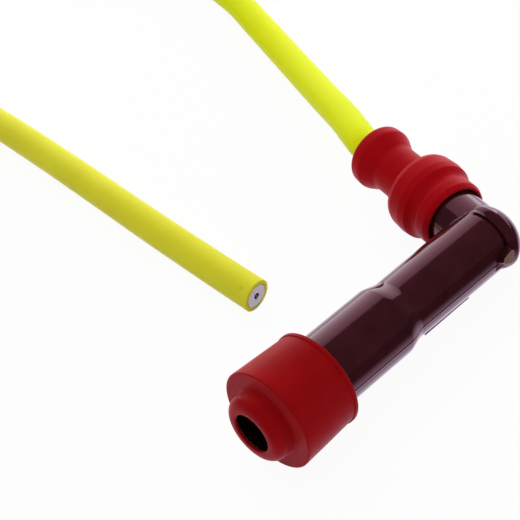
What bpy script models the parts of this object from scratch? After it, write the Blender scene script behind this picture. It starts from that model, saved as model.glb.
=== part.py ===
# Spark plug cap with a bent neck: one moulded body, two rubber boots, the contact parts inside,
# and its high-tension lead. The cap lies on its side, on the plane z = 0, as it comes to rest.
# Lengths are in millimetres. A profile's corner is (along the axis, radius, rounding of the corner).

import bpy
import bmesh
import math
from mathutils import Vector

MM = 0.001
GAP = 0.3                       # clearance between neighbouring pieces

# How the cap lies. The elbow is where the barrel's axis and the neck's axis cross.
ELBOW_AT = (28.40, -14.24, 8.19)
ROLL_DEG = 5.352                # the neck rises from the elbow to the cable boot's ring
PITCH_DEG = 3.150               # the barrel rises from the elbow to the plug boot's lip
ELBOW_ANGLE_DEG = 102.0         # between the barrel and the neck

# Body: the barrel, measured from the elbow towards the plug
BARREL_LENGTH = 65.9
BARREL_RADIUS = 8.25
SHOULDER_FRONT = 33.0
SHOULDER_BACK = 28.8
SLIM_RADIUS_FRONT = 7.28
SLIM_RADIUS_BACK = 7.5
RESISTOR_BORE_RADIUS = 3.25
RESISTOR_BORE_START = -2.0
SOCKET_BORE_RADIUS = 5.0
SOCKET_BORE_START = 31.0
PLUG_BORE_RADIUS = 5.6
PLUG_BORE_START = 42.5

# Body: the head over the elbow, a short ring with a domed end, which stands proud of the barrel
HEAD_RADIUS = 8.13
HEAD_ACROSS = -0.6              # away from the neck
HEAD_STEP = 0.2                 # where its edge faces the plug
HEAD_RING_END = -0.4
HEAD_DOME_DEPTH = 6.4
DOME_STEPS = 9                  # rings of the head's and of the neck's domed ends

# Body: the flat pad under the barrel, and the broken stub of the mould's gate on the head's outer
# side. The stub's corners are (along the barrel, height above its axis).
PAD_START = 9.5
PAD_END = 24.7
PAD_HALF_WIDTH = 4.4
PAD_DEPTH = 8.05
GATE_OUT = 9.2
GATE_FACE = [(0.0, 1.9), (-0.1, -0.2), (0.7, -0.9), (2.5, -0.3), (3.6, 0.9), (3.3, 2.0), (1.0, 2.8)]
GATE_ROOT_OUT = 6.8
GATE_ROOT = [(-1.0, 2.3), (-1.1, -1.2), (0.6, -3.2), (5.2, -2.4), (4.1, 0.2), (2.8, 1.5), (0.4, 2.7)]

# Body: the neck, measured from the elbow towards the lead
NECK_RADIUS_ROOT = 6.9
NECK_RADIUS_END = 6.75
NECK_LENGTH = 21.5
LEAD_BORE_RADIUS = 4.3
LEAD_BORE_START = 7.0

# Plug boot: a sleeve over the barrel's front with a domed nose that takes the spark plug
SLEEVE_START = 52.7
SLEEVE_END = 67.7
NOSE_END = 72.1
NOSE_RADIUS = 7.75
PLUG_HOLE_RADIUS = 4.5
LIP_DEPTH = 1.5                 # of the hole, before the boot widens inside

# Cable boot: a sleeve over the neck with a grip ring, a waist and a flared end
CABLE_BOOT_START = 9.4
CABLE_BOOT_END = 39.6
WAIST_RADIUS = 5.95

# Contact parts in the bore, from the elbow towards the plug
CONTACT_RADIUS = 2.9
SCREW_PIN_RADIUS = 0.9
SCREW_PIN_LENGTH = 17.0
RESISTOR_RADIUS = 2.2
SPRING_SPAN = (20.8, 29.9)
SPRING_RADIUS = 2.4
SPRING_WIRE_RADIUS = 0.35
SPRING_TURNS = 5
SOCKET_RADIUS = 4.2
SOCKET_HOLE_RADIUS = 3.3
CLIP_ALONG = 38.5
CLIP_RADIUS = 4.35
CLIP_WIRE_RADIUS = 0.3
CLIP_OPENING_DEG = 50.0
SLOT_WIDTH = 1.0

# Lead: its layers, and where the end held in the neck meets the free length
LEAD_RADIUS = 4.0
INSULATION_RADIUS = 2.7
CONDUCTOR_RADIUS = 0.8
LEAD_JOINT = 35.8
LEAD_POINT_SPACING = 13.5

# The free lead's centre line: out of the cable boot, down to the floor, round and back to its cut end
LEAD_ROUTE = [
    (36.17, 21.30, 11.11),
    (36.82, 24.33, 11.35),
    (38.30, 29.60, 11.55),
    (44.50, 41.60, 9.80),
    (50.90, 55.40, 7.50),
    (57.40, 69.60, 5.50),
    (63.50, 83.60, 4.30),
    (70.00, 99.80, 4.00),
    (76.00, 115.60, 4.00),
    (80.40, 134.50, 4.00),
    (82.20, 157.00, 4.00),
    (82.00, 182.00, 4.00),
    (80.10, 208.50, 4.00),
    (73.90, 226.10, 4.00),
    (61.20, 239.90, 4.00),
    (44.40, 246.10, 4.00),
    (26.80, 243.10, 4.00),
    (12.90, 232.10, 4.00),
    (5.00, 215.50, 4.00),
    (2.40, 191.00, 4.00),
    (1.60, 168.00, 4.00),
    (0.90, 148.00, 4.00),
    (0.10, 131.80, 4.00),
    (-1.90, 106.10, 4.00),
    (-4.10, 82.50, 4.00),
    (-6.20, 60.70, 4.00),
    (-7.95, 40.50, 4.00),
    (-9.48, 20.84, 4.00),
]

ROUND_SIDES = 36
SMALL_SIDES = 20

FINISHES = {
    "phenolic": ((0.045, 0.012, 0.014), 0.12, 0.0),
    "boot_rubber": ((0.27, 0.006, 0.012), 0.38, 0.0),
    "lead_jacket": ((0.69, 0.79, 0.02), 0.4, 0.0),
    "lead_insulation": ((0.72, 0.66, 0.8), 0.5, 0.0),
    "lead_conductor": ((0.25, 0.2, 0.16), 0.45, 1.0),
    "brass": ((0.62, 0.44, 0.14), 0.3, 1.0),
    "spring_steel": ((0.42, 0.42, 0.44), 0.32, 1.0),
    "ceramic": ((0.75, 0.72, 0.66), 0.45, 0.0),
}


def clear_scene():
    for old in list(bpy.data.objects):
        bpy.data.objects.remove(old, do_unlink=True)


def make_material(name):
    colour, roughness, metallic = FINISHES[name]
    material = bpy.data.materials.new(name)
    material.use_nodes = True
    shader = material.node_tree.nodes["Principled BSDF"]
    shader.inputs["Base Color"].default_value = (*colour, 1.0)
    shader.inputs["Roughness"].default_value = roughness
    shader.inputs["Metallic"].default_value = metallic
    return material


def round_corner(before, corner, after, rounding, steps):
    # The points of an arc that touches both sides of the corner.
    to_before = (before - corner).normalized()
    to_after = (after - corner).normalized()
    half = to_before.angle(to_after) / 2
    reach = rounding / math.tan(half)
    centre = corner + (to_before + to_after).normalized() * (rounding / math.sin(half))
    first = (corner + to_before * reach - centre).normalized()
    last = (corner + to_after * reach - centre).normalized()
    sweep = first.angle(last)
    points = []
    for k in range(steps + 1):
        part = k / steps
        arm = first * math.sin((1 - part) * sweep) + last * math.sin(part * sweep)
        points.append(centre + arm * (rounding / math.sin(sweep)))
    return points


def outline_points(profile, closed, steps):
    places = [Vector(corner[:2]) for corner in profile]
    outline = []
    for i, corner in enumerate(profile):
        if corner[2] == 0:
            outline.append(places[i])
            continue
        after = places[(i + 1) % len(places)]
        outline += round_corner(places[i - 1], places[i], after, corner[2], steps)
    return outline


def finish_mesh(name, shape):
    mesh = bpy.data.meshes.new(name)
    shape.to_mesh(mesh)
    shape.free()
    mesh.shade_smooth()
    mesh.set_sharp_from_angle(angle=math.radians(35))
    return mesh


def turned(name, profile, sides=ROUND_SIDES, closed=False, steps=2):
    # Spins a profile about the local Z axis. An open profile starts and ends on the axis.
    shape = bmesh.new()
    points = outline_points(profile, closed, steps)
    verts = [shape.verts.new((p.y * MM, 0.0, p.x * MM)) for p in points]
    pairs = list(zip(verts, verts[1:]))
    if closed:
        pairs.append((verts[-1], verts[0]))
    for pair in pairs:
        shape.edges.new(pair)
    bmesh.ops.spin(
        shape,
        geom=shape.verts[:] + shape.edges[:],
        axis=(0, 0, 1),
        angle=math.tau,
        steps=sides,
        use_merge=True,
    )
    bmesh.ops.remove_doubles(shape, verts=shape.verts[:], dist=1e-6)
    bmesh.ops.recalc_face_normals(shape, faces=shape.faces[:])
    return finish_mesh(name, shape)


def block(name, low, high):
    shape = bmesh.new()
    bmesh.ops.create_cube(shape, size=1.0)
    size = Vector(high) - Vector(low)
    middle = (Vector(high) + Vector(low)) / 2
    for vert in shape.verts:
        vert.co = (vert.co * size + middle) * MM
    return finish_mesh(name, shape)


def prism(name, first_end, last_end):
    # A solid between two outlines that have the same number of corners.
    shape = bmesh.new()
    first = [shape.verts.new(place) for place in first_end]
    last = [shape.verts.new(place) for place in last_end]
    shape.faces.new(first)
    shape.faces.new(last)
    for k in range(len(first)):
        shape.faces.new((first[k - 1], first[k], last[k], last[k - 1]))
    bmesh.ops.recalc_face_normals(shape, faces=shape.faces[:])
    return finish_mesh(name, shape)


def add_object(name, data, frame, material=None):
    thing = bpy.data.objects.new(name, data)
    bpy.context.scene.collection.objects.link(thing)
    thing.parent = frame
    if material:
        data.materials.append(material)
    return thing


def on_barrel(thing):
    # The local Z axis runs from the elbow towards the plug.
    thing.rotation_euler.y = -math.pi / 2
    return thing


def on_neck(thing):
    # The local Z axis runs from the elbow towards the lead.
    thing.rotation_euler = (-math.pi / 2, 0.0, math.radians(90 - ELBOW_ANGLE_DEG))
    return thing


def combine(target, tool, operation):
    tool.hide_render = True
    tool.display_type = "WIRE"
    step = target.modifiers.new(operation.title() + " " + tool.name, "BOOLEAN")
    step.operation = operation
    step.solver = "EXACT"
    step.object = tool


def add_barrel(frame, material):
    profile = [
        (0.0, 0.0, 0),
        (0.0, SLIM_RADIUS_BACK, 0),
        (SHOULDER_BACK, SLIM_RADIUS_FRONT, 4.0),
        (SHOULDER_FRONT, BARREL_RADIUS, 3.0),
        (BARREL_LENGTH, BARREL_RADIUS, 0.5),
        (BARREL_LENGTH, 0.0, 0),
    ]
    return on_barrel(add_object("body", turned("Barrel", profile), frame, material))


def add_head(frame):
    profile = [(HEAD_STEP, 0.0, 0), (HEAD_STEP, HEAD_RADIUS, 0)]
    for k in range(DOME_STEPS):
        turn = math.pi / 2 * k / DOME_STEPS
        along = HEAD_RING_END - HEAD_DOME_DEPTH * math.sin(turn)
        profile.append((along, HEAD_RADIUS * math.cos(turn), 0))
    profile.append((HEAD_RING_END - HEAD_DOME_DEPTH, 0.0, 0))
    head = on_barrel(add_object("Head", turned("Head", profile), frame))
    head.location = Vector((0.0, HEAD_ACROSS, 0.0)) * MM
    return head


def add_neck(frame):
    # The root is domed, so that the elbow's outer corner is round.
    profile = [(-NECK_RADIUS_ROOT, 0.0, 0)]
    for k in range(1, DOME_STEPS + 1):
        turn = math.pi / 2 * k / DOME_STEPS
        profile.append((-NECK_RADIUS_ROOT * math.cos(turn), NECK_RADIUS_ROOT * math.sin(turn), 0))
    profile.append((NECK_LENGTH, NECK_RADIUS_END, 0.6))
    profile.append((NECK_LENGTH, 0.0, 0))
    return on_neck(add_object("Neck", turned("Neck", profile), frame))


def add_pad(frame):
    low = (-PAD_END, -PAD_HALF_WIDTH, -PAD_DEPTH)
    high = (-PAD_START, PAD_HALF_WIDTH, -SLIM_RADIUS_FRONT / 2)
    return add_object("Pad", block("Pad", low, high), frame)


def add_gate_stub(frame):
    face = [Vector((-along, -GATE_OUT, height)) * MM for along, height in GATE_FACE]
    root = [Vector((-along, -GATE_ROOT_OUT, height)) * MM for along, height in GATE_ROOT]
    return add_object("Gate stub", prism("Gate stub", face, root), frame)


def add_bores(frame):
    past = BARREL_LENGTH + 1
    barrel = [
        (RESISTOR_BORE_START, 0.0, 0),
        (RESISTOR_BORE_START, RESISTOR_BORE_RADIUS, 0),
        (SOCKET_BORE_START, RESISTOR_BORE_RADIUS, 0),
        (SOCKET_BORE_START, SOCKET_BORE_RADIUS, 0),
        (PLUG_BORE_START, SOCKET_BORE_RADIUS, 0),
        (PLUG_BORE_START, PLUG_BORE_RADIUS, 0),
        (past, PLUG_BORE_RADIUS, 0),
        (past, 0.0, 0),
    ]
    past = NECK_LENGTH + 1
    pin_hole = SCREW_PIN_RADIUS + GAP
    neck = [
        (0.5, 0.0, 0),
        (0.5, pin_hole, 0),
        (LEAD_BORE_START, pin_hole, 0),
        (LEAD_BORE_START, LEAD_BORE_RADIUS, 0),
        (past, LEAD_BORE_RADIUS, 0),
        (past, 0.0, 0),
    ]
    barrel_bore = add_object("Barrel bore", turned("Barrel bore", barrel), frame)
    neck_bore = add_object("Neck bore", turned("Neck bore", neck, SMALL_SIDES), frame)
    return on_barrel(barrel_bore), on_neck(neck_bore)


def add_body(frame, material):
    body = add_barrel(frame, material)
    for tool in (add_head(frame), add_neck(frame), add_pad(frame), add_gate_stub(frame)):
        combine(body, tool, "UNION")
    for tool in add_bores(frame):
        combine(body, tool, "DIFFERENCE")


def add_plug_boot(frame, material):
    grip = BARREL_RADIUS + GAP
    seat = BARREL_LENGTH + GAP
    inner = PLUG_BORE_RADIUS + 0.1
    profile = [
        (SLEEVE_START, grip, 0),
        (SLEEVE_START, 10.7, 0),
        (SLEEVE_START + 0.2, 11.15, 0),
        (SLEEVE_START + 0.9, 11.15, 0),
        (SLEEVE_START + 1.1, 10.85, 0),
        (60.5, 11.25, 0),
        (SLEEVE_END, 11.6, 0.3),
        (SLEEVE_END, NOSE_RADIUS, 0),
        (NOSE_END, NOSE_RADIUS, 2.1),
        (NOSE_END, PLUG_HOLE_RADIUS, 0.3),
        (NOSE_END - LIP_DEPTH, PLUG_HOLE_RADIUS, 0),
        (NOSE_END - LIP_DEPTH - 0.8, inner, 0),
        (seat, inner, 0),
        (seat, grip, 0),
    ]
    mesh = turned("Plug boot", profile, closed=True, steps=3)
    on_barrel(add_object("plug_boot", mesh, frame, material))


def add_cable_boot(frame, material):
    grip = NECK_RADIUS_ROOT + GAP
    seat = NECK_LENGTH + GAP
    mouth = 7.4
    lead_hole = LEAD_RADIUS + GAP
    profile = [
        (CABLE_BOOT_START, mouth, 0),
        (CABLE_BOOT_START + 0.1, 7.8, 0),
        (10.3, 8.4, 0),
        (12.8, 8.4, 0),
        (13.6, 8.15, 0),
        (14.8, 8.25, 0),
        (16.2, 9.5, 0),
        (18.2, 9.7, 1.0),
        (21.4, 9.5, 0),
        (22.9, 9.0, 0.4),
        (23.2, WAIST_RADIUS, 0.5),
        (32.6, WAIST_RADIUS, 2.0),
        (35.6, 7.5, 1.2),
        (38.3, 7.6, 0.9),
        (CABLE_BOOT_END, 6.4, 0),
        (CABLE_BOOT_END, 5.4, 0),
        (36.0, lead_hole, 0),
        (seat, lead_hole, 0),
        (seat, grip, 0),
        (11.4, grip, 0),
        (11.0, mouth, 0),
    ]
    on_neck(add_object("cable_boot", turned("Cable boot", profile, closed=True), frame, material))


def add_cable_screw(frame, material):
    # The threaded pin that the lead is screwed on to, with its round base in the bore.
    base = [(-1.6, 0, 0), (-1.6, CONTACT_RADIUS, 0.3), (2.4, CONTACT_RADIUS, 0.3), (2.4, 0, 0)]
    pin = [
        (0.0, 0, 0),
        (0.0, SCREW_PIN_RADIUS, 0),
        (SCREW_PIN_LENGTH - 3, SCREW_PIN_RADIUS, 0),
        (SCREW_PIN_LENGTH, 0, 0),
    ]
    screw = on_barrel(add_object("cable_screw", turned("Screw base", base, SMALL_SIDES), frame, material))
    combine(screw, on_neck(add_object("Screw pin", turned("Screw pin", pin, 12), frame)), "UNION")


def add_contact_plate(frame, material):
    profile = [(2.7, 0, 0), (2.7, CONTACT_RADIUS, 0), (3.3, CONTACT_RADIUS, 0), (3.3, 0, 0)]
    on_barrel(add_object("contact_plate", turned("Contact plate", profile, SMALL_SIDES), frame, material))


def add_resistor(frame, ceramic, brass):
    rod = [(4.4, 0, 0), (4.4, RESISTOR_RADIUS, 0.3), (19.6, RESISTOR_RADIUS, 0.3), (19.6, 0, 0)]
    on_barrel(add_object("resistor_rod", turned("Resistor rod", rod, SMALL_SIDES), frame, ceramic))
    cup_bore = RESISTOR_RADIUS + GAP
    ends = {"resistor_cap_back": (3.6, 4.1, 8.1), "resistor_cap_front": (20.4, 19.9, 15.9)}
    for name, (closed_end, floor, rim) in ends.items():
        cup = [
            (closed_end, 0, 0),
            (closed_end, CONTACT_RADIUS, 0.2),
            (rim, CONTACT_RADIUS, 0),
            (rim, cup_bore, 0),
            (floor, cup_bore, 0),
            (floor, 0, 0),
        ]
        on_barrel(add_object(name, turned(name, cup, SMALL_SIDES), frame, brass))


def wire(name, points, radius, bevel_resolution):
    # A round wire or lead with flat ends, along points in millimetres.
    curve = bpy.data.curves.new(name, "CURVE")
    curve.dimensions = "3D"
    curve.bevel_depth = radius * MM
    curve.bevel_resolution = bevel_resolution
    curve.use_fill_caps = True
    spline = curve.splines.new("POLY")
    spline.points.add(len(points) - 1)
    for place, point in zip(spline.points, points):
        place.co = (*(Vector(point) * MM), 1.0)
    return curve


def add_contact_spring(frame, material):
    start = SPRING_SPAN[0] + SPRING_WIRE_RADIUS
    end = SPRING_SPAN[1] - SPRING_WIRE_RADIUS
    steps = 12 * SPRING_TURNS
    points = []
    for k in range(steps + 1):
        turn = math.tau * SPRING_TURNS * k / steps
        along = start + (end - start) * k / steps
        points.append((SPRING_RADIUS * math.cos(turn), SPRING_RADIUS * math.sin(turn), along))
    curve = wire("Contact spring", points, SPRING_WIRE_RADIUS, 1)
    on_barrel(add_object("contact_spring", curve, frame, material))


def add_plug_terminal(frame, material):
    # A slotted socket that snaps over the spark plug's terminal nut, grooved for its clip.
    groove = CLIP_RADIUS - CLIP_WIRE_RADIUS - GAP
    profile = [
        (30.2, 0, 0),
        (30.2, CONTACT_RADIUS, 0.2),
        (31.3, CONTACT_RADIUS, 0),
        (31.3, SOCKET_RADIUS, 0),
        (CLIP_ALONG - 0.6, SOCKET_RADIUS, 0),
        (CLIP_ALONG - 0.6, groove, 0),
        (CLIP_ALONG + 0.6, groove, 0),
        (CLIP_ALONG + 0.6, SOCKET_RADIUS, 0),
        (42.2, SOCKET_RADIUS, 0.3),
        (42.2, SOCKET_HOLE_RADIUS, 0.3),
        (32.6, SOCKET_HOLE_RADIUS, 0),
        (32.6, 0, 0),
    ]
    mesh = turned("Plug terminal", profile, SMALL_SIDES)
    terminal = on_barrel(add_object("plug_terminal", mesh, frame, material))
    low = (-43.0, -SOCKET_RADIUS - 1, -SLOT_WIDTH / 2)
    high = (-36.0, SOCKET_RADIUS + 1, SLOT_WIDTH / 2)
    combine(terminal, add_object("Socket slot", block("Socket slot", low, high), frame), "DIFFERENCE")


def add_terminal_clip(frame, material):
    opening = math.radians(CLIP_OPENING_DEG)
    steps = 20
    points = []
    for k in range(steps + 1):
        turn = opening / 2 + (math.tau - opening) * k / steps
        points.append((CLIP_RADIUS * math.cos(turn), CLIP_RADIUS * math.sin(turn), CLIP_ALONG))
    curve = wire("Terminal clip", points, CLIP_WIRE_RADIUS, 1)
    on_barrel(add_object("terminal_clip", curve, frame, material))


def add_held_lead_end(frame, materials):
    # The end of the lead in the neck, pushed on to the screw's pin.
    start = LEAD_BORE_START + GAP
    jacket_hole = INSULATION_RADIUS + GAP
    core_hole = SCREW_PIN_RADIUS + GAP
    core_start = SCREW_PIN_LENGTH + GAP
    jacket = [
        (start, jacket_hole, 0),
        (start, LEAD_RADIUS, 0),
        (LEAD_JOINT, LEAD_RADIUS, 0),
        (LEAD_JOINT, jacket_hole, 0),
    ]
    insulation = [
        (start, core_hole, 0),
        (start, INSULATION_RADIUS, 0),
        (LEAD_JOINT, INSULATION_RADIUS, 0),
        (LEAD_JOINT, core_hole, 0),
    ]
    conductor = [
        (core_start, 0, 0),
        (core_start, CONDUCTOR_RADIUS, 0),
        (LEAD_JOINT, CONDUCTOR_RADIUS, 0),
        (LEAD_JOINT, 0, 0),
    ]
    jacket_mesh = turned("Held jacket", jacket, SMALL_SIDES, closed=True)
    insulation_mesh = turned("Held insulation", insulation, SMALL_SIDES, closed=True)
    conductor_mesh = turned("Held conductor", conductor, 12)
    on_neck(add_object("lead_end_jacket", jacket_mesh, frame, materials["lead_jacket"]))
    on_neck(add_object("lead_end_insulation", insulation_mesh, frame, materials["lead_insulation"]))
    on_neck(add_object("lead_end_conductor", conductor_mesh, frame, materials["lead_conductor"]))


def smooth_route(route, spacing):
    # Points at an even spacing on the smooth curve that passes through every point of the route.
    places = [Vector(p) for p in route]
    places = [2 * places[0] - places[1]] + places + [2 * places[-1] - places[-2]]
    fine = [places[1]]
    steps = 12
    for a, b, c, d in zip(places, places[1:], places[2:], places[3:]):
        for k in range(1, steps + 1):
            t = k / steps
            square = 2 * a - 5 * b + 4 * c - d
            cube = 3 * b - a - 3 * c + d
            fine.append((2 * b + (c - a) * t + square * t**2 + cube * t**3) / 2)
    travelled = [0.0]
    for here, after in zip(fine, fine[1:]):
        travelled.append(travelled[-1] + (after - here).length)
    count = round(travelled[-1] / spacing)
    points = []
    i = 0
    for k in range(count + 1):
        wanted = travelled[-1] * k / count
        while i < len(fine) - 2 and travelled[i + 1] < wanted:
            i += 1
        part = (wanted - travelled[i]) / (travelled[i + 1] - travelled[i])
        points.append(fine[i].lerp(fine[i + 1], part))
    return points


def add_free_lead(material):
    points = smooth_route(LEAD_ROUTE, LEAD_POINT_SPACING)
    add_object("lead", wire("Lead", points, LEAD_RADIUS, 3), None, material)


def main():
    clear_scene()
    materials = {name: make_material(name) for name in FINISHES}
    frame = bpy.data.objects.new("cap_frame", None)
    bpy.context.scene.collection.objects.link(frame)
    frame.location = Vector(ELBOW_AT) * MM
    frame.rotation_euler = (math.radians(ROLL_DEG), math.radians(PITCH_DEG), 0.0)

    add_body(frame, materials["phenolic"])
    add_plug_boot(frame, materials["boot_rubber"])
    add_cable_boot(frame, materials["boot_rubber"])
    add_cable_screw(frame, materials["brass"])
    add_contact_plate(frame, materials["brass"])
    add_resistor(frame, materials["ceramic"], materials["brass"])
    add_contact_spring(frame, materials["spring_steel"])
    add_plug_terminal(frame, materials["brass"])
    add_terminal_clip(frame, materials["spring_steel"])
    add_held_lead_end(frame, materials)
    add_free_lead(materials["lead_jacket"])


main()
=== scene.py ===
import math
import bpy
import bmesh
import numpy as np
from mathutils import Euler, Matrix, Vector


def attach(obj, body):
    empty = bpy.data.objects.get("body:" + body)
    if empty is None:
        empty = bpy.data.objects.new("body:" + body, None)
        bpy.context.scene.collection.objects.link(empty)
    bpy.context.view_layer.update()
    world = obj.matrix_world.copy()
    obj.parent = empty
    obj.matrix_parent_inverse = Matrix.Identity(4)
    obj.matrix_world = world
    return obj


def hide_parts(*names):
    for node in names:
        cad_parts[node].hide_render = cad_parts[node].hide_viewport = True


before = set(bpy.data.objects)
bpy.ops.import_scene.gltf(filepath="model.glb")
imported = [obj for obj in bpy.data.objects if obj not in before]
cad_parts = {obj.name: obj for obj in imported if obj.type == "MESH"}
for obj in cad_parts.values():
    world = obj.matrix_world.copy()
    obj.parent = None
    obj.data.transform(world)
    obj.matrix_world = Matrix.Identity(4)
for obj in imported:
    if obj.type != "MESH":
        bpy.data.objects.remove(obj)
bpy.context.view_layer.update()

mm = 0.001
print("frame loaded:", len(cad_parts), "nodes")


# How the cap lies, in mm and degrees. The elbow is where the barrel's and the neck's axes cross.
lie = {
    "elbow": (28.40, -14.24, 8.19),
    "roll": 5.352,
    "pitch": 3.150,
    "neckLean": 12.0,       # the neck leans this far from square to the barrel
}

lieTurn = Euler((math.radians(lie["roll"]), math.radians(lie["pitch"]), 0.0))
capMatrix = Matrix.Translation(Vector(lie["elbow"]) * mm) @ lieTurn.to_matrix().to_4x4()
neckTurn = Matrix.Rotation(-math.radians(lie["neckLean"]), 4, "Z")
barrelMatrix = capMatrix @ Matrix.Rotation(-math.pi / 2, 4, "Y")    # local Z runs to the plug
neckMatrix = capMatrix @ neckTurn @ Matrix.Rotation(-math.pi / 2, 4, "X")    # local Z runs to the lead


def toLinear(value):
    return value / 12.92 if value <= 0.04045 else ((value + 0.055) / 1.055) ** 2.4


def colour(hexCode):
    # "#RRGGBB" as written on screen, to the linear values that shaders take
    parts = [int(hexCode[i:i + 2], 16) / 255 for i in (1, 3, 5)]
    return (*[toLinear(p) for p in parts], 1.0)


def addNode(tree, kind, settings=None, links=None):
    # settings: attributes or input sockets by name or number; links: input socket to (node, output)
    node = tree.nodes.new(kind)
    for key, value in (settings or {}).items():
        if isinstance(key, int) or key in node.inputs:
            node.inputs[key].default_value = value
        else:
            setattr(node, key, value)
    for key, (source, output) in (links or {}).items():
        tree.links.new(source.outputs[output], node.inputs[key])
    return node


def scaleFor(size):
    # the scale at which a noise texture's features are about this many mm across
    return 1 / (size * mm)


def newMaterial(name, **sockets):
    material = bpy.data.materials.new(name)
    material.use_nodes = True
    shader = material.node_tree.nodes["Principled BSDF"]
    for key, value in sockets.items():
        shader.inputs[key.replace("_", " ")].default_value = value
    return material, material.node_tree, shader


def setRamp(node, stops):
    ramp = node.color_ramp
    while len(ramp.elements) < len(stops):
        ramp.elements.new(0.5)
    for element, (place, value) in zip(ramp.elements, stops):
        element.position = place
        element.color = value


# Camera: a long lens looking down at about 40 degrees, as in the photograph
cameraSet = {
    "place": (-151.67, -190.03, 229.25),
    "turn": (48.651, 12.018, -45.039),
    "sensor": 36.0,
    "lens": 104.541,
}
cameraData = bpy.data.cameras.new("Camera")
cameraData.sensor_width = cameraSet["sensor"]
cameraData.lens = cameraSet["lens"]
cameraData.clip_start = 0.01
camera = bpy.data.objects.new("Camera", cameraData)
bpy.context.scene.collection.objects.link(camera)
camera.location = Vector(cameraSet["place"]) * mm
camera.rotation_euler = [math.radians(a) for a in cameraSet["turn"]]
bpy.context.scene.camera = camera


# Outlines and meshes
def roundCorner(before, corner, after, radius, steps=8):
    toBefore = (before - corner).normalized()
    toAfter = (after - corner).normalized()
    half = toBefore.angle(toAfter) / 2
    reach = radius / math.tan(half)
    centre = corner + (toBefore + toAfter).normalized() * (radius / math.sin(half))
    first = (corner + toBefore * reach - centre).normalized()
    last = (corner + toAfter * reach - centre).normalized()
    sweep = first.angle(last)
    points = []
    for k in range(steps + 1):
        part = k / steps
        arm = first * math.sin((1 - part) * sweep) + last * math.sin(part * sweep)
        points.append(centre + arm * (radius / math.sin(sweep)))
    return points


def outlinePoints(profile):
    # profile corners are (along, radius, rounding) in mm
    places = [Vector(corner[:2]) for corner in profile]
    outline = []
    for i, corner in enumerate(profile):
        if corner[2] == 0:
            outline.append(places[i])
        else:
            after = places[(i + 1) % len(places)]
            outline += roundCorner(places[i - 1], places[i], after, corner[2])
    return outline


def refineOutline(outline, closed, longest):
    # splits long straight stretches, so that bumps and shading have points to work with
    finer = []
    count = len(outline)
    for i in range(count if closed else count - 1):
        here, after = outline[i], outline[(i + 1) % count]
        pieces = max(1, math.ceil((after - here).length / longest))
        finer += [here.lerp(after, k / pieces) for k in range(pieces)]
    if not closed:
        finer.append(outline[-1])
    return finer


def linkObject(name, data, matrix=None, material=None):
    thing = bpy.data.objects.new(name, data)
    bpy.context.scene.collection.objects.link(thing)
    if matrix is not None:
        thing.matrix_world = matrix
    if material and not data.materials:
        data.materials.append(material)
    return thing


def smoothMesh(mesh, angle=35):
    mesh.shade_smooth()
    mesh.set_sharp_from_angle(angle=math.radians(angle))
    return mesh


def gridMesh(name, rows, closedAlong, capped=False):
    # rows: array (row, point, xyz) in mm; each row is a closed ring
    rowCount, ringCount = rows.shape[:2]
    mesh = bpy.data.meshes.new(name)
    verts = (rows.reshape(-1, 3) * mm).tolist()
    faces = []
    last = rowCount if closedAlong else rowCount - 1
    for i in range(last):
        a, b = i * ringCount, ((i + 1) % rowCount) * ringCount
        for j in range(ringCount):
            k = (j + 1) % ringCount
            faces.append((a + j, a + k, b + k, b + j))
    if capped:
        faces.append(tuple(range(ringCount - 1, -1, -1)))
        start = (rowCount - 1) * ringCount
        faces.append(tuple(range(start, start + ringCount)))
    mesh.from_pydata(verts, [], faces)
    mesh.validate()
    shape = bmesh.new()
    shape.from_mesh(mesh)
    bmesh.ops.remove_doubles(shape, verts=shape.verts[:], dist=1e-7)
    bmesh.ops.recalc_face_normals(shape, faces=shape.faces[:])
    shape.to_mesh(mesh)
    shape.free()
    return mesh


def turnedMesh(name, profile, sides, closed, longest):
    # rings of a profile about local Z
    outline = refineOutline(outlinePoints(profile), closed, longest)
    angles = np.arange(sides) * math.tau / sides
    rows = []
    for point in outline:
        ring = [point.y * np.cos(angles), point.y * np.sin(angles), np.full(sides, point.x)]
        rows.append(np.stack(ring, -1))
    return smoothMesh(gridMesh(name, np.array(rows), closed))


def placePiece(name, mesh, matrix, material, slot, *nodes):
    if matrix is not None:
        mesh.transform(matrix)
    piece = linkObject(name, mesh, None, material)
    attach(piece, "root")
    if nodes:
        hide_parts(*nodes)
    return piece


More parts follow.
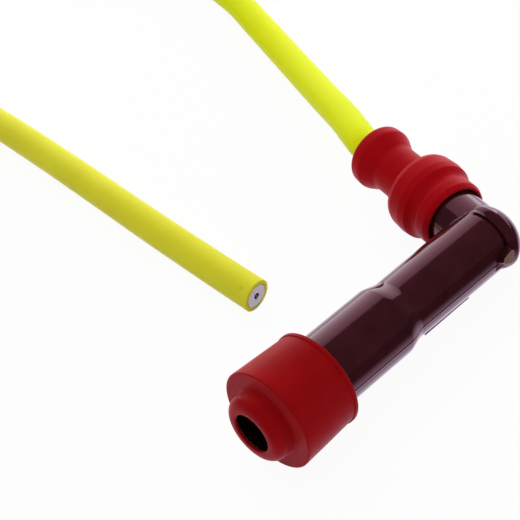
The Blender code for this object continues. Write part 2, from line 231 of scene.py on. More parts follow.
# Materials
def mouldedPhenolic():
    # Wood-flour filled phenolic, compression moulded: almost black brown-red, glassy where the
    # steel mould was polished, with faint flow clouds and the odd fleck of filler. The flecks are
    # drawn larger than the flour, so that they show.
    material, tree, shader = newMaterial("mouldedPhenolic", IOR=1.6, Specular_Tint=(1.0, 0.33, 0.52, 1.0))
    place = addNode(tree, "ShaderNodeTexCoord")
    clouds = addNode(
        tree,
        "ShaderNodeTexNoise",
        {"Scale": scaleFor(6.25), "Detail": 3.0, "Roughness": 0.55},
        {"Vector": (place, "Object")},
    )
    tint = addNode(tree, "ShaderNodeValToRGB", None, {"Fac": (clouds, "Fac")})
    setRamp(tint, [(0.3, colour("#300F13")), (0.55, colour("#381317")), (0.8, colour("#40181D"))])
    flecks = addNode(
        tree, "ShaderNodeTexNoise", {"Scale": scaleFor(0.385), "Detail": 1.0}, {"Vector": (place, "Object")}
    )
    fleckMask = addNode(
        tree, "ShaderNodeMapRange", {"From Min": 0.68, "From Max": 0.76}, {"Value": (flecks, "Fac")}
    )
    fleckFade = addNode(
        tree, "ShaderNodeMath", {"operation": "MULTIPLY", 1: 0.25}, {0: (fleckMask, "Result")}
    )
    mix = addNode(
        tree,
        "ShaderNodeMix",
        {"data_type": "RGBA", 7: colour("#54292A")},
        {0: (fleckFade, "Value"), 6: (tint, "Color")},
    )
    tree.links.new(mix.outputs[2], shader.inputs["Base Color"])
    haze = addNode(
        tree, "ShaderNodeTexNoise", {"Scale": scaleFor(2.38), "Detail": 4.0}, {"Vector": (place, "Object")}
    )
    gloss = addNode(
        tree,
        "ShaderNodeMapRange",
        {"From Min": 0.35, "From Max": 0.7, "To Min": 0.08, "To Max": 0.15},
        {"Value": (haze, "Fac")},
    )
    tree.links.new(gloss.outputs["Result"], shader.inputs["Roughness"])
    ripple = addNode(
        tree, "ShaderNodeTexNoise", {"Scale": scaleFor(4.35), "Detail": 2.0}, {"Vector": (place, "Object")}
    )
    bump = addNode(
        tree, "ShaderNodeBump", {"Strength": 0.05, "Distance": 0.4 * mm}, {"Height": (ripple, "Fac")}
    )
    tree.links.new(bump.outputs["Normal"], shader.inputs["Normal"])
    return material


def brokenGate():
    # The gate snapped off: the filler shows, dull, pale tan and rough
    material, tree, shader = newMaterial("snappedGate", Roughness=0.7)
    place = addNode(tree, "ShaderNodeTexCoord")
    grain = addNode(
        tree, "ShaderNodeTexNoise", {"Scale": scaleFor(0.714), "Detail": 4.0}, {"Vector": (place, "Object")}
    )
    tint = addNode(tree, "ShaderNodeValToRGB", None, {"Fac": (grain, "Fac")})
    setRamp(tint, [(0.3, colour("#7C5A46")), (0.7, colour("#8C6853"))])
    tree.links.new(tint.outputs["Color"], shader.inputs["Base Color"])
    bump = addNode(
        tree, "ShaderNodeBump", {"Strength": 0.5, "Distance": 0.2 * mm}, {"Height": (grain, "Fac")}
    )
    tree.links.new(bump.outputs["Normal"], shader.inputs["Normal"])
    return material


def mouldedRubber(name, dark, light):
    # Silicone rubber from a fine-blasted mould: deep colour, broad soft sheen, a little dust.
    # The blasting is finer than 0.1 mm, and is drawn coarse enough to show.
    material, tree, shader = newMaterial(
        name,
        IOR=1.42,
        Specular_IOR_Level=0.035,
        Specular_Tint=(1.0, 0.25, 0.3, 1.0),
        Sheen_Weight=0.6,
        Sheen_Roughness=0.4,
        Sheen_Tint=(1.0, 0.18, 0.22, 1.0),
    )
    place = addNode(tree, "ShaderNodeTexCoord")
    clouds = addNode(
        tree, "ShaderNodeTexNoise", {"Scale": scaleFor(8.33), "Detail": 3.0}, {"Vector": (place, "Object")}
    )
    tint = addNode(tree, "ShaderNodeValToRGB", None, {"Fac": (clouds, "Fac")})
    setRamp(tint, [(0.3, colour(dark)), (0.7, colour(light))])
    tree.links.new(tint.outputs["Color"], shader.inputs["Base Color"])
    grain = addNode(
        tree, "ShaderNodeTexNoise", {"Scale": scaleFor(0.3125), "Detail": 2.0}, {"Vector": (place, "Object")}
    )
    gloss = addNode(
        tree, "ShaderNodeMapRange", {"To Min": 0.27, "To Max": 0.38}, {"Value": (grain, "Fac")}
    )
    tree.links.new(gloss.outputs["Result"], shader.inputs["Roughness"])
    bump = addNode(
        tree, "ShaderNodeBump", {"Strength": 0.12, "Distance": 0.1 * mm}, {"Height": (grain, "Fac")}
    )
    tree.links.new(bump.outputs["Normal"], shader.inputs["Normal"])
    return material


def extrudedJacket():
    # Soft PVC drawn through a die: saturated yellow, satin, clouded by handling. Painted shade: the
    # stretch that ends in the cut is coloured a little darker and less green, for how the light falls there
    material, tree, shader = newMaterial(
        "extrudedJacket",
        Roughness=0.4,
        IOR=1.5,
        Specular_IOR_Level=0.04,
        Specular_Tint=(1.0, 1.0, 0.3, 1.0),
        Subsurface_Weight=0.8,
        Subsurface_Radius=(1.0, 0.95, 0.15),
        Subsurface_Scale=1.5 * mm,
    )
    place = addNode(tree, "ShaderNodeTexCoord")
    clouds = addNode(
        tree, "ShaderNodeTexNoise", {"Scale": scaleFor(16.67), "Detail": 4.0}, {"Vector": (place, "Object")}
    )
    nearStretch = addNode(tree, "ShaderNodeValToRGB", None, {"Fac": (clouds, "Fac")})
    setRamp(nearStretch, [(0.3, colour("#E6F200")), (0.7, colour("#EEF806"))])
    # painted shade: the darker, less green tone given to the stretch that ends in the cut
    shadedStretch = addNode(tree, "ShaderNodeValToRGB", None, {"Fac": (clouds, "Fac")})
    setRamp(shadedStretch, [(0.3, colour("#E6E034")), (0.7, colour("#ECE83C"))])
    sideways = addNode(tree, "ShaderNodeSeparateXYZ", None, {"Vector": (place, "Object")})
    # the cut stretch lies towards -X, the stretch at the cap beyond 40 mm
    # how much of the painted shade each place gets, by its place along X
    shadedStretchMix = addNode(
        tree, "ShaderNodeMapRange", {"From Min": 40 * mm, "From Max": 0.0}, {"Value": (sideways, "X")}
    )
    mix = addNode(
        tree,
        "ShaderNodeMix",
        {"data_type": "RGBA"},
        {0: (shadedStretchMix, "Result"), 6: (nearStretch, "Color"), 7: (shadedStretch, "Color")},
    )
    tree.links.new(mix.outputs[2], shader.inputs["Base Color"])
    grain = addNode(
        tree, "ShaderNodeTexNoise", {"Scale": scaleFor(1.11), "Detail": 3.0}, {"Vector": (place, "Object")}
    )
    bump = addNode(
        tree, "ShaderNodeBump", {"Strength": 0.08, "Distance": 0.2 * mm}, {"Height": (grain, "Fac")}
    )
    tree.links.new(bump.outputs["Normal"], shader.inputs["Normal"])
    return material


def grainedMaterial(name, dark, light, grainSize, roughness, metallic=0.0):
    # A plain finish with a fine grain, in two tones of one colour
    material, tree, shader = newMaterial(name, Roughness=roughness, Metallic=metallic)
    place = addNode(tree, "ShaderNodeTexCoord")
    grain = addNode(
        tree,
        "ShaderNodeTexNoise",
        {"Scale": scaleFor(grainSize), "Detail": 3.0},
        {"Vector": (place, "Object")},
    )
    tint = addNode(tree, "ShaderNodeValToRGB", None, {"Fac": (grain, "Fac")})
    setRamp(tint, [(0.35, colour(dark)), (0.65, colour(light))])
    tree.links.new(tint.outputs["Color"], shader.inputs["Base Color"])
    bump = addNode(
        tree, "ShaderNodeBump", {"Strength": 0.1, "Distance": 0.1 * mm}, {"Height": (grain, "Fac")}
    )
    tree.links.new(bump.outputs["Normal"], shader.inputs["Normal"])
    return material


phenolic = mouldedPhenolic()
gateTan = brokenGate()
plugRubber = mouldedRubber("mouldedRedSilicone", "#920A0E", "#A00E13")
cableRubber = mouldedRubber("mouldedBrightRedSilicone", "#A80911", "#B60E18")
# inside the nose, painted shade: a near-black rubber stands in for the shadow in the hole
paintedShadeRubber = mouldedRubber("paintedShadeSilicone", "#1C0304", "#280506")
jacketYellow = extrudedJacket()
# snipped through, so a dull face of a faintly violet white
insulationWhite = grainedMaterial("cutPolyethylene", "#E4DCEE", "#F0E8F6", 1.43, 0.5)
# tinned and handled, so dark grey with little shine
strandMetal = grainedMaterial("tinnedStrand", "#3A3430", "#6E655C", 1.11, 0.45, 1.0)
# fresh from the lathe, warm and bright
turnedBrass = grainedMaterial("turnedBrass", "#B08A3E", "#CFA858", 2.0, 0.3, 1.0)
# drawn through a die, even and grey
springWire = grainedMaterial("drawnSpringSteel", "#8C8C90", "#A8A8AC", 1.25, 0.32, 1.0)
# fired and left unglazed, chalky and warm white
steatite = grainedMaterial("firedSteatite", "#DAD6CC", "#E6E2D8", 1.67, 0.5)
print("materials made")


# The lead, in mm: its route repeats the CAD's
lead = {
    "radius": 4.0,
    "length": 498.0,
    "insulationRadius": 2.9,
    "strandRadius": 0.27,
    "endDepth": 9.0,        # the layers are modelled this far in from the cut
    "endSpacing": 0.15,
    "layerGap": 0.06,
    "strandHole": 0.8,
    "strandOut": 0.51,      # from the lead's axis to each outer strand's
    "strandEnds": (-0.35, 0.25),        # some strands stand back from the cut, some stand out
    "cutNormal": (0.0955, -0.9769, -0.1886),    # the snips went through a little askew
    "cutReach": 6.0,        # the rings lean into the cut from here
    "edgeRound": 0.12,
    "nickFromEnd": 2.3,
    "nickTurn": 52.0,
    "nickSize": (0.5, 0.45),
    "nickDepth": 0.4,
    "sides": 72,
    "spacing": 1.5,
}
leadRoute = [
    (36.17, 21.30, 11.11), (36.82, 24.33, 11.35), (38.30, 29.60, 11.55), (44.50, 41.60, 9.80),
    (50.90, 55.40, 7.50), (57.40, 69.60, 5.50), (63.50, 83.60, 4.30), (70.00, 99.80, 4.00),
    (76.00, 115.60, 4.00), (80.40, 134.50, 4.00), (82.20, 157.00, 4.00), (82.00, 182.00, 4.00),
    (80.10, 208.50, 4.00), (73.90, 226.10, 4.00), (61.20, 239.90, 4.00), (44.40, 246.10, 4.00),
    (26.80, 243.10, 4.00), (12.90, 232.10, 4.00), (5.00, 215.50, 4.00), (2.40, 191.00, 4.00),
    (1.60, 168.00, 4.00), (0.90, 148.00, 4.00), (0.10, 131.80, 4.00), (-1.90, 106.10, 4.00),
    (-4.10, 82.50, 4.00), (-6.20, 60.70, 4.00), (-7.95, 40.50, 4.00), (-9.48, 20.84, 4.00),
]


def smoothRoute(route, spacing):
    places = [np.array(p) for p in route]
    places = [2 * places[0] - places[1]] + places + [2 * places[-1] - places[-2]]
    fine = [places[1]]
    for a, b, c, d in zip(places, places[1:], places[2:], places[3:]):
        for t in np.linspace(0, 1, 25)[1:]:
            square = 2 * a - 5 * b + 4 * c - d
            cube = 3 * b - a - 3 * c + d
            fine.append((2 * b + (c - a) * t + square * t**2 + cube * t**3) / 2)
    fine = np.array(fine)
    travelled = np.concatenate([[0], np.cumsum(np.linalg.norm(np.diff(fine, axis=0), axis=1))])
    end = travelled[-1] - lead["endDepth"]
    finer = round(lead["endDepth"] / lead["endSpacing"])
    wanted = np.linspace(0, end, round(end / spacing))[:-1]
    wanted = np.concatenate([wanted, np.linspace(end, travelled[-1], finer + 1)])
    return np.stack([np.interp(wanted, travelled, fine[:, k]) for k in range(3)], -1)


def routeFrames(points):
    # side and up vectors along the route, without twist
    ahead = np.gradient(points, axis=0)
    ahead /= np.linalg.norm(ahead, axis=1)[:, None]
    side = np.cross(ahead, (0.0, 0.0, 1.0))
    side /= np.linalg.norm(side, axis=1)[:, None]
    return ahead, side, np.cross(side, ahead)


def tubeRows(points, frames, radius, sides):
    ahead, side, up = frames
    angles = np.arange(sides) * math.tau / sides
    ring = side[:, None] * np.cos(angles)[None, :, None] + up[:, None] * np.sin(angles)[None, :, None]
    return points[:, None] + ring * radius


leadPoints = smoothRoute(leadRoute, lead["spacing"])
leadFrames = routeFrames(leadPoints)


def slantCut(rows, points):
    # leans the rings near the end into the plane of the cut
    ahead = leadFrames[0][-1]
    cut = np.array(lead["cutNormal"])
    fromEnd = np.linalg.norm(points - leadPoints[-1], axis=1)
    weight = np.clip(1 - fromEnd / lead["cutReach"], 0, 1)
    shift = -((rows - points[:, None]) @ cut) / (ahead @ cut) * weight[:, None]
    return rows + shift[..., None] * ahead


def makeLead():
    fromEnd = np.linalg.norm(leadPoints - leadPoints[-1], axis=1)
    turns = np.arange(lead["sides"]) * math.tau / lead["sides"]
    nickLong, nickWide = lead["nickSize"]
    nick = ((fromEnd[:, None] - lead["nickFromEnd"]) / nickLong) ** 2
    nick = nick + ((turns[None] - math.radians(lead["nickTurn"])) * lead["radius"] / nickWide) ** 2
    outer = tubeRows(leadPoints, leadFrames, lead["radius"], lead["sides"])
    inward = (leadPoints[:, None] - outer) / lead["radius"]
    outer = slantCut(outer + inward * (lead["nickDepth"] * np.exp(-nick))[..., None], leadPoints)
    endCount = round(lead["endDepth"] / lead["endSpacing"])
    core = leadPoints[-endCount:]
    coreFrames = tuple(v[-endCount:] for v in leadFrames)
    inner = slantCut(tubeRows(core, coreFrames, lead["insulationRadius"], lead["sides"]), core)[::-1]
    shrink = lead["edgeRound"] / lead["radius"]
    edge = outer[-1:] * (1 - shrink) + leadPoints[-1] * shrink
    rows = np.concatenate([outer[:-1], outer[-1:] - leadFrames[0][-1] * lead["edgeRound"], edge, inner])
    mesh = smoothMesh(gridMesh("leadJacket", rows, False, True), 50)
    jacket = placePiece("leadJacket", mesh, None, jacketYellow, "lead_jacket", "lead")

    insulationRadius = lead["insulationRadius"] - lead["layerGap"]
    rows = slantCut(tubeRows(core, coreFrames, insulationRadius, lead["sides"]), core)
    hole = slantCut(tubeRows(core, coreFrames, lead["strandHole"], lead["sides"]), core)[::-1]
    mesh = smoothMesh(gridMesh("leadInsulation", np.concatenate([rows, hole]), False, True), 50)
    insulation = placePiece("leadInsulation", mesh, None, insulationWhite, "lead_insulation")

    ahead, side, up = (v[-1] for v in leadFrames)
    for k in range(7):
        turn = math.tau * k / 6
        offset = (side * math.cos(turn) + up * math.sin(turn)) * (0 if k == 6 else lead["strandOut"])
        rows = slantCut(tubeRows(core, coreFrames, lead["strandRadius"], 12) + offset, core)
        rows[-1] += ahead * lead["strandEnds"][k % 2]
        mesh = smoothMesh(gridMesh(f"leadStrand{k + 1}", rows, False, True), 50)
        placePiece(f"leadStrand{k + 1}", mesh, None, strandMetal, "lead_conductor")


makeLead()
print("lead laid")


# Body: one moulding. The outer surface is a radius about the barrel's axis; the neck joins it.
body = {
    "slimBack": 7.5,
    "slimFront": 7.28,
    "slimFrom": 4.0,
    "slimBackRound": 3.5,       # inside the head the slim barrel ends in a dome of this depth
    "shoulderBack": 28.4,
    "shoulderFront": 32.8,
    "barrelRadius": 8.25,
    "length": 65.9,
    "headRadius": 8.13,     # the head is a short ring that ends in a dome
    "headAcross": -0.6,
    "headStep": 0.2,
    "headRingEnd": -0.4,
    "headDepth": 6.4,
    "headEdge": (-1.9, 0.9),        # its edge starts here, and falls this far to the step
    "headEdgeCurve": 1.2,   # 1 would be a plain chamfer
    "stepWall": 0.12,       # how far along the barrel the step's wall takes
    "stepFade": (55, 80),   # degrees from the neck's side: the step fades into the neck here
    "stepFadeWall": 3.0,    # where it has faded, its wall is this much longer
    "groove": (0.2, 1.15, 0.85),    # the narrow groove beyond the step: its two sides and its depth
    "grooveWalls": (0.05, 0.06),
    "grooveFade": (74, 79),
    "blend": 0.15,          # fillet where shapes meet
    "padStart": 9.5,
    "padEnd": 24.7,
    "padDepth": 8.05,
    "padHalfWidth": 4.5,
    "padSlope": 0.5,
    "padSideSoft": (0.5, 0.4),      # the pad's long edges round off this far out and in
    "ridgeHeight": 0.1,     # the mould line's flash
    "ridgeWidth": 0.16,
    "ridgeFrom": (-1.0, 1.0),
    "ringCrowding": 0.32,   # draws the points round the barrel towards the mould lines
    "frontRound": 0.5,
    "fanAt": -3.0,          # behind this place the surface is measured by rays that fan out
    "fanRings": 43,
    "fanHole": 0.004,       # the first ring stays this much open, and one face closes it
    "spacing": [            # from each of these places on, the rings lie this far apart
        (-3.0, 0.1), (0.0, 0.03), (1.0, 0.2), (7.0, 0.4), (9.3, 0.1), (10.2, 0.7),
        (24.0, 0.1), (24.9, 0.5), (28.0, 0.2), (33.2, 1.2),
    ],
    "sides": 200,
}


def ease(value, low, high):
    t = np.clip((value - low) / (high - low), 0, 1)
    return t * t * (3 - 2 * t)


def smoothMax(a, b, reach):
    h = np.maximum(reach - np.abs(a - b), 0) / reach
    return np.maximum(a, b) + h * h * reach / 4


def barrelRadiusAt(along):
    back, front = body["shoulderBack"], body["shoulderFront"]
    slim = np.interp(along, [body["slimFrom"], back], [body["slimBack"], body["slimFront"]])
    slim = slim * np.sqrt(np.maximum(1 - (np.minimum(along, 0) / body["slimBackRound"]) ** 2, 0))
    # the shoulder is a cone with softened ends
    straight = np.clip((along - back) / (front - back), 0, 1)
    rise = 0.5 * straight + 0.5 * ease(along, back, front)
    return slim + (body["barrelRadius"] - slim) * rise


def headRadiusAt(along, turn):
    # distance from the barrel's axis to the ring or the dome
    back = np.clip((body["headRingEnd"] - along) / body["headDepth"], 0, 1)
    start, fall = body["headEdge"]
    over = np.clip((along - start) / (body["headStep"] - start), 0, 1)
    radius = body["headRadius"] * np.sqrt(1 - back**2) - fall * over ** body["headEdgeCurve"]
    off = body["headAcross"]
    inside = np.maximum(radius**2 - (off * np.cos(turn)) ** 2, 0)
    return off * np.sin(turn) + np.sqrt(inside)


def surfaceRadius(along, turn):
    # turn 0 is up, a quarter turn is towards the neck
    barrel = barrelRadiusAt(along)
    head = headRadiusAt(along, turn)
    fromNeck = turn - math.pi / 2
    fromNeck = np.degrees(np.abs(np.arctan2(np.sin(fromNeck), np.cos(fromNeck))))
    wall = body["stepWall"] + body["stepFadeWall"] * (1 - ease(fromNeck, *body["stepFade"]))
    keep = ease((body["headStep"] - along) / wall, -0.5, 0.5)
    radius = smoothMax(barrel, head, body["blend"]) * keep + barrel * (1 - keep)
    start, end, depth = body["groove"]
    backWall, frontWall = body["grooveWalls"]
    sunk = ease(along, start - backWall, start + backWall)
    sunk = sunk * ease(-along, -end - frontWall, -end + frontWall)
    radius = radius - depth * sunk * ease(fromNeck, *body["grooveFade"])

    # the flat pad under the barrel
    down = -np.cos(turn)
    underneath = 0.3
    pad = body["padDepth"] / np.maximum(down, underneath)
    side = np.abs(pad * np.sin(turn))
    slope = body["padSlope"]
    out, back = body["padSideSoft"]
    onPad = ease(along, body["padStart"], body["padStart"] + slope)
    onPad = onPad * ease(-along, -body["padEnd"], -body["padEnd"] + slope)
    onPad = onPad * ease(-side, -body["padHalfWidth"] - out, -body["padHalfWidth"] + back)
    radius = np.maximum(radius, radius + (pad - radius) * onPad * (down > underneath))

    ridge = 0
    for place in (math.pi / 2, -math.pi / 2):
        away = np.arctan2(np.sin(turn - place), np.cos(turn - place)) * radius
        ridge = ridge + np.exp(-((away / body["ridgeWidth"]) ** 2))
    return radius + body["ridgeHeight"] * ridge * ease(along, *body["ridgeFrom"])


def ringTurns(sides):
    # points round the barrel, closer together at the two mould lines
    turns = np.arange(sides) * math.tau / sides
    return turns + body["ringCrowding"] * np.sin(2 * turns)


def bodyShell():
    turns = ringTurns(body["sides"])
    fan = body["fanAt"]
    rows = []
    # the dome is a flattened ball: stretched along the barrel it is round, and the rays meet it there
    stretch = body["headRadius"] / body["headDepth"]
    centre = np.array([(fan - body["headRingEnd"]) * stretch, -body["headAcross"], 0.0])
    for tilt in np.linspace(body["fanHole"], 1, body["fanRings"] + 1)[:-1] * math.pi / 2:
        # rays from the fan's centre: straight back at tilt 0, square to the axis at a quarter turn
        straight, across = np.full_like(turns, math.cos(tilt)), math.sin(tilt)
        ray = np.stack([-straight, across * np.sin(turns), across * np.cos(turns)], -1)
        scaled = ray * np.array([stretch, 1.0, 1.0])
        square, toward = (scaled**2).sum(-1), scaled @ centre
        inside = toward**2 - square * (centre @ centre - body["headRadius"] ** 2)
        reach = (np.sqrt(inside) - toward) / square
        rows.append(ray * reach[:, None] + np.array([fan, 0.0, 0.0]))
    edge = body["frontRound"]
    rings = []
    stretches = body["spacing"] + [(body["length"] - edge, 0.0)]
    for (start, step), (end, _) in zip(stretches, stretches[1:]):
        rings += [(along, surfaceRadius(along, turns)) for along in np.arange(start, end, step)]
    for corner in np.linspace(0, math.pi / 2, 6):
        radius = body["barrelRadius"] - edge + edge * math.cos(corner)
        rings.append((body["length"] - edge + edge * math.sin(corner), radius))
    for along, radius in rings:
        ring = [np.full_like(turns, along), radius * np.sin(turns), radius * np.cos(turns)]
        rows.append(np.stack(ring, -1))
    rows = np.array(rows)
    rows[..., 0] *= -1        # the cap's own X points away from the plug
    return gridMesh("bodyShell", rows, False, True)


neck = {
    "rootRadius": 6.9,
    "endRadius": 6.75,
    "length": 21.5,
    "leadBore": 4.3,
    "leadBoreStart": 7.0,
    "pinHole": 1.2,
}
bores = {
    "resistor": 3.25,
    "resistorStart": -2.0,
    "socket": 5.0,
    "socketStart": 31.0,
    "plug": 5.6,
    "plugStart": 42.5,
}


def cutOrJoin(target, tool, operation):
    step = target.modifiers.new(operation, "BOOLEAN")
    step.operation = operation
    step.solver = "EXACT"
    step.object = tool
    bpy.context.view_layer.update()
    result = bpy.data.meshes.new_from_object(target.evaluated_get(bpy.context.evaluated_depsgraph_get()))
    target.modifiers.clear()
    target.data = result
    bpy.data.objects.remove(tool)


# its outlines are (towards the plug, up) in mm from the elbow
gate = {
    "faceOut": 8.9,
    "rootOut": 6.8,
    "face": [
        (0.25, 2.15), (0.15, 0.05), (0.95, -0.65), (2.75, -0.05), (3.85, 1.15), (3.55, 2.25),
        (1.25, 3.05),
    ],
    "root": [
        (-1.0, 2.3), (-1.1, -1.2), (0.6, -3.2), (5.2, -2.4), (4.1, 0.2), (2.8, 1.5), (0.4, 2.7),
    ],
    "ragged": 0.02,
    "steps": 9,             # points on each side of the outline
}


def gateStub():
    # the stub left of the mould's gate, snapped off on the head's outer side
    corners = len(gate["face"])
    places = np.arange(corners * gate["steps"]) / gate["steps"]
    outlines = []
    for key in ("root", "face"):
        outline = np.array(gate[key] + gate[key][:1])
        evenly = [np.interp(places, np.arange(corners + 1), outline[:, k]) for k in range(2)]
        outlines.append(np.stack(evenly, -1))
    root, face = outlines
    rough = np.random.default_rng(7)
    rows = []
    for part in (0.0, 0.35, 0.7, 0.9, 1.0):
        out = gate["rootOut"] + (gate["faceOut"] - gate["rootOut"]) * part
        rows.append((root + (face - root) * part, out, part))
    middle = face.mean(axis=0)
    for part in (0.75, 0.5, 0.25):
        rows.append((middle + (face - middle) * part, gate["faceOut"], 1.0))
    points = []
    for ring, out, torn in rows:
        jitter = rough.normal(0, gate["ragged"] * torn, (len(ring), 3))
        points.append(np.stack([-ring[:, 0], np.full(len(ring), -out), ring[:, 1]], -1) + jitter)
    return gridMesh("gateTool", np.array(points), False, True)


def makeBody():
    shell = linkObject("bodyMoulding", bodyShell(), capMatrix)
    # the neck's root is a ball, hidden in the head
    neckProfile = [(-neck["rootRadius"], 0, 0)]
    for k in range(1, 25):
        turn = math.pi / 2 * k / 24
        neckProfile.append((-neck["rootRadius"] * math.cos(turn), neck["rootRadius"] * math.sin(turn), 0))
    neckProfile += [(neck["length"], neck["endRadius"], 0.6), (neck["length"], 0, 0)]
    neckTool = linkObject("neckTool", turnedMesh("neckTool", neckProfile, 128, False, 0.8), neckMatrix)
    cutOrJoin(shell, neckTool, "UNION")
    cutOrJoin(shell, linkObject("gateTool", gateStub(), capMatrix), "UNION")

    past = body["length"] + 1
    boreProfile = [
        (bores["resistorStart"], 0, 0), (bores["resistorStart"], bores["resistor"], 0),
        (bores["socketStart"], bores["resistor"], 0), (bores["socketStart"], bores["socket"], 0),
        (bores["plugStart"], bores["socket"], 0), (bores["plugStart"], bores["plug"], 0),
        (past, bores["plug"], 0), (past, 0, 0),
    ]
    boreTool = turnedMesh("boreTool", boreProfile, 96, False, 4)
    cutOrJoin(shell, linkObject("boreTool", boreTool, barrelMatrix), "DIFFERENCE")
    past = neck["length"] + 1
    neckBore = [
        (0.5, 0, 0), (0.5, neck["pinHole"], 0), (neck["leadBoreStart"], neck["pinHole"], 0),
        (neck["leadBoreStart"], neck["leadBore"], 0), (past, neck["leadBore"], 0), (past, 0, 0),
    ]
    neckBoreTool = turnedMesh("neckBoreTool", neckBore, 64, False, 4)
    cutOrJoin(shell, linkObject("neckBoreTool", neckBoreTool, neckMatrix), "DIFFERENCE")
    smoothMesh(shell.data, 32)
    shell.data.materials.clear()
    shell.data.materials.append(phenolic)
    shell.data.materials.append(gateTan)
    for face in shell.data.polygons:
        # only the stub's outer face is torn
        broken = abs(face.center.y + gate["faceOut"] * mm) < 0.1 * mm and face.normal.y < -0.7
        face.material_index = 1 if broken else 0
    shell.data.transform(shell.matrix_world)
    shell.matrix_world = Matrix()
    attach(shell, "root")
    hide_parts("body")


makeBody()
print("body moulded")


# Rubber boots
plugBoot = {
    "start": 52.7,
    "shoulder": 67.7,
    "end": 72.1,
    "grip": 8.55,
    "noseRadius": 7.75,
    "holeRadius": 4.5,
    "inner": 5.7,
    "seat": 66.2,
}
cableBoot = {
    "start": 9.4,
    "end": 39.6,
    "grip": 7.2,
    "mouth": 7.4,
    "waist": 5.95,
    "leadHole": 4.3,
    "seat": 21.8,
}


def makePlugBoot():
    b = plugBoot
    profile = [
        (b["start"], b["grip"], 0),
        (b["start"], 10.75, 0.1),
        (b["start"] + 0.15, 11.1, 0.15),
        (b["start"] + 0.95, 11.1, 0.15),
        (b["start"] + 1.1, 10.88, 0.05),
        (60.5, 11.25, 6.0),
        (b["shoulder"], 11.6, 0.3),
        (b["shoulder"], b["noseRadius"], 0.5),
        (b["end"], b["noseRadius"] - 0.05, 2.3),
        (b["end"], b["holeRadius"], 0.3),
        (b["end"] - 0.6, b["holeRadius"], 0.2),
        (b["end"] - 1.3, b["inner"], 0.2),
        (b["seat"], b["inner"], 0),
        (b["seat"], b["grip"], 0),
    ]
    mesh = turnedMesh("plugBootMoulding", profile, 200, True, 1.0)
    mesh.materials.append(plugRubber)
    mesh.materials.append(paintedShadeRubber)
    for face in mesh.polygons:
        # the hole and what lies behind it take the near-black painted-shade rubber
        out = math.hypot(face.center.x, face.center.y)
        inside = out < b["inner"] * 1.02 * mm and face.center.z < (b["end"] - 0.45) * mm
        face.material_index = 1 if inside else 0
    placePiece("plugBootMoulding", mesh, barrelMatrix, plugRubber, "boot_rubber", "plug_boot")


def makeCableBoot():
    b = cableBoot
    profile = [
        (b["start"], b["mouth"], 0.1),
        (b["start"] + 0.1, 7.9, 0.3),
        (10.6, 8.42, 0.6),
        (13.0, 8.4, 1.4),
        (13.6, 8.15, 1.3),
        (14.9, 8.25, 2.0),
        (16.3, 9.5, 0.4),
        (18.2, 9.72, 0.9),
        (21.4, 9.5, 1.0),
        (22.8, 9.0, 0.6),
        (23.1, b["waist"] + 0.05, 0.5),
        (32.4, b["waist"], 3.0),
        (36.2, 7.75, 2.2),
        (39.0, 7.6, 1.2),
        (b["end"], 6.6, 0.5),
        (b["end"], 5.5, 0.4),
        (36.0, b["leadHole"], 0.3),
        (b["seat"], b["leadHole"], 0),
        (b["seat"], b["grip"], 0),
        (11.4, b["grip"], 0.1),
        (11.0, b["mouth"], 0.1),
    ]
    mesh = turnedMesh("cableBootMoulding", profile, 144, True, 1.0)
    placePiece("cableBootMoulding", mesh, neckMatrix, cableRubber, "boot_rubber", "cable_boot")


makePlugBoot()
makeCableBoot()
print("boots moulded")


# Carried-over CAD pieces, inside the body
innerFinish = {
    "cable_screw": turnedBrass,
    "contact_plate": turnedBrass,
    "resistor_rod": steatite,
    "resistor_cap_back": turnedBrass,
    "resistor_cap_front": turnedBrass,
    "contact_spring": springWire,
    "plug_terminal": turnedBrass,
    "terminal_clip": springWire,
    "lead_end_jacket": jacketYellow,
    "lead_end_insulation": insulationWhite,
    "lead_end_conductor": strandMetal,
}
for nodeName, finish in innerFinish.items():
    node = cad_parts[nodeName]
    node.data.materials.clear()
    node.data.materials.append(finish)
print("inner pieces finished")


# Floor and light
stageSet = {
    "floorSize": 3.0,
    "floorHeight": -0.0002,     # a hair under what lies on it
    "floorColour": "#F8F8F8",
    "floorGlow": 0.95,
    # the floor's painted glow, seen only in the gloss: its direction, where it fades, its levels and its
    # tint
    "glossGlowAlong": (-0.18, 1.0, 0.0),
    "glossGlowEdge": (-44.0, -26.0),    # mm along the direction above: the painted glow fades out here, and before it the gloss sees a dark room
    "glossGlowNear": 1.35,
    "glossGlowFar": 0.05,
    "glossGlowTint": "#F6EAFF",
    "worldColour": "#FFFFFF",
    "worldStrength": 0.15,
    "windowTop": 0.97,
    "windowFade": (1.3, 0.5),       # how bright the rear window is at its foot and at its top
}

# in metres and watts; the fills only lift the shade, and don't show in the gloss
lamps = {
    "rearWindow": {
        "place": (0.768, 0.647, 0.492), "size": (1.8, 1.2), "power": 13.8, "target": (0.47, -0.171, 0.01)
    },
    "sideWindow": {"place": (0.87, 0.02, 0.14), "size": (0.7, 0.28), "power": 0.75},
    "overheadFill": {"place": (-0.1, -0.1, 1.2), "size": (1.0, 1.0), "power": 5.0},
    "frontFill": {"place": (0.2, -1.2, 0.3), "size": (1.2, 0.5), "power": 2.6},
    "leftFill": {"place": (-1.1, -0.1, 0.2), "size": (1.0, 0.5), "power": 1.9},
    "rightFill": {"place": (1.0, 0.2, 0.5), "size": (0.8, 0.5), "power": 1.6},
}


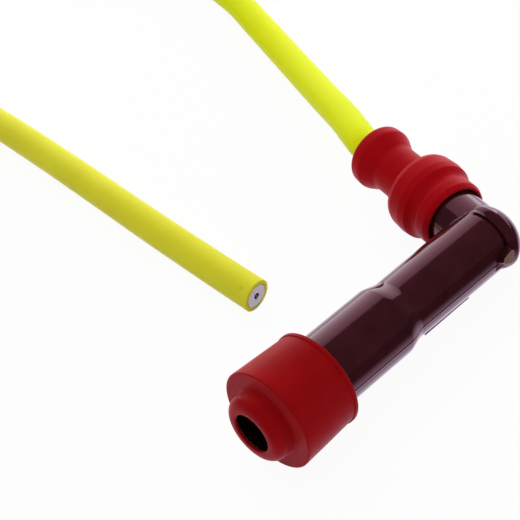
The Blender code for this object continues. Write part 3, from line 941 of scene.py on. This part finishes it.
def makeFloor():
    material, tree, shader = newMaterial("paleFloor", Roughness=0.7)
    shader.inputs["Base Color"].default_value = colour(stageSet["floorColour"])
    bpy.ops.mesh.primitive_plane_add(size=stageSet["floorSize"], location=(0, 0, stageSet["floorHeight"]))
    floor = bpy.context.object
    floor.name = "floor"
    floor.data.materials.append(material)
    # seen by the camera the floor is lifted almost to white, and keeps a little of each shadow;
    # seen in the cap's gloss the floor is a painted glow, not a lamp: lilac-tinted, brighter than white
    # near the cap, and fading out in front of it
    path = addNode(tree, "ShaderNodeLightPath")
    place = addNode(tree, "ShaderNodeNewGeometry")
    where = addNode(
        tree,
        "ShaderNodeVectorMath",
        {"operation": "DOT_PRODUCT", 1: stageSet["glossGlowAlong"]},
        {0: (place, "Position")},
    )
    edgeStart, edgeEnd = (edge * mm for edge in stageSet["glossGlowEdge"])
    glossGlowLevel = addNode(
        tree,
        "ShaderNodeMapRange",
        {
            "interpolation_type": "SMOOTHSTEP",
            "From Min": edgeStart,
            "From Max": edgeEnd,
            "To Min": stageSet["glossGlowFar"],
            "To Max": stageSet["glossGlowNear"],
        },
        {"Value": (where, "Value")},
    )
    level = addNode(
        tree,
        "ShaderNodeMix",
        {"data_type": "FLOAT", 3: 1.0},
        {0: (path, "Is Camera Ray"), 2: (glossGlowLevel, "Result")},
    )
    tint = addNode(
        tree,
        "ShaderNodeMix",
        {"data_type": "RGBA", 6: colour(stageSet["glossGlowTint"]), 7: colour("#FFFFFF")},
        {0: (path, "Is Camera Ray")},
    )
    glow = addNode(tree, "ShaderNodeEmission", None, {"Color": (tint, 2), "Strength": (level, 0)})
    seen = addNode(
        tree,
        "ShaderNodeMath",
        {"operation": "MULTIPLY", 1: stageSet["floorGlow"]},
        {0: (path, "Is Camera Ray")},
    )
    mirrored = addNode(
        tree,
        "ShaderNodeMath",
        {"operation": "MAXIMUM"},
        {0: (path, "Is Glossy Ray"), 1: (path, "Is Transmission Ray")},
    )
    both = addNode(
        tree, "ShaderNodeMath", {"operation": "MAXIMUM"}, {0: (seen, "Value"), 1: (mirrored, "Value")}
    )
    mix = addNode(
        tree,
        "ShaderNodeMixShader",
        None,
        {0: (both, "Value"), 1: (shader, "BSDF"), 2: (glow, "Emission")},
    )
    tree.links.new(mix.outputs["Shader"], tree.nodes["Material Output"].inputs["Surface"])


def addSoftbox(name, place, size, power, target=(0.0, 0.0, 0.01)):
    light = bpy.data.lights.new(name, "AREA")
    light.shape = "RECTANGLE"
    light.size, light.size_y = size
    light.energy = power
    lamp = bpy.data.objects.new(name, light)
    bpy.context.scene.collection.objects.link(lamp)
    lamp.location = place
    lamp.rotation_euler = (Vector(target) - Vector(place)).to_track_quat("-Z", "Y").to_euler()
    return lamp


def fadeUpward(lamp, top, low, high):
    # brighter at its lower edge, as a window is near the ground outside
    lamp.data.use_nodes = True
    tree = lamp.data.node_tree
    place = addNode(tree, "ShaderNodeNewGeometry")
    height = addNode(tree, "ShaderNodeSeparateXYZ", None, {"Vector": (place, "Position")})
    fade = addNode(
        tree,
        "ShaderNodeMapRange",
        {"From Min": 0.0, "From Max": top, "To Min": low, "To Max": high},
        {"Value": (height, "Z")},
    )
    tree.links.new(fade.outputs["Result"], tree.nodes["Emission"].inputs["Strength"])


def makeWorld():
    world = bpy.data.worlds.new("studio")
    world.use_nodes = True
    background = world.node_tree.nodes["Background"]
    background.inputs["Color"].default_value = colour(stageSet["worldColour"])
    background.inputs["Strength"].default_value = stageSet["worldStrength"]
    bpy.context.scene.world = world


makeFloor()
makeWorld()
for lampName, lampSet in lamps.items():
    lamp = addSoftbox(lampName, **lampSet)
    lamp.visible_glossy = lampName.endswith("Window")
fadeUpward(bpy.data.objects["rearWindow"], stageSet["windowTop"], *stageSet["windowFade"])
bpy.context.scene.view_settings.view_transform = "Standard"
print("stage set")
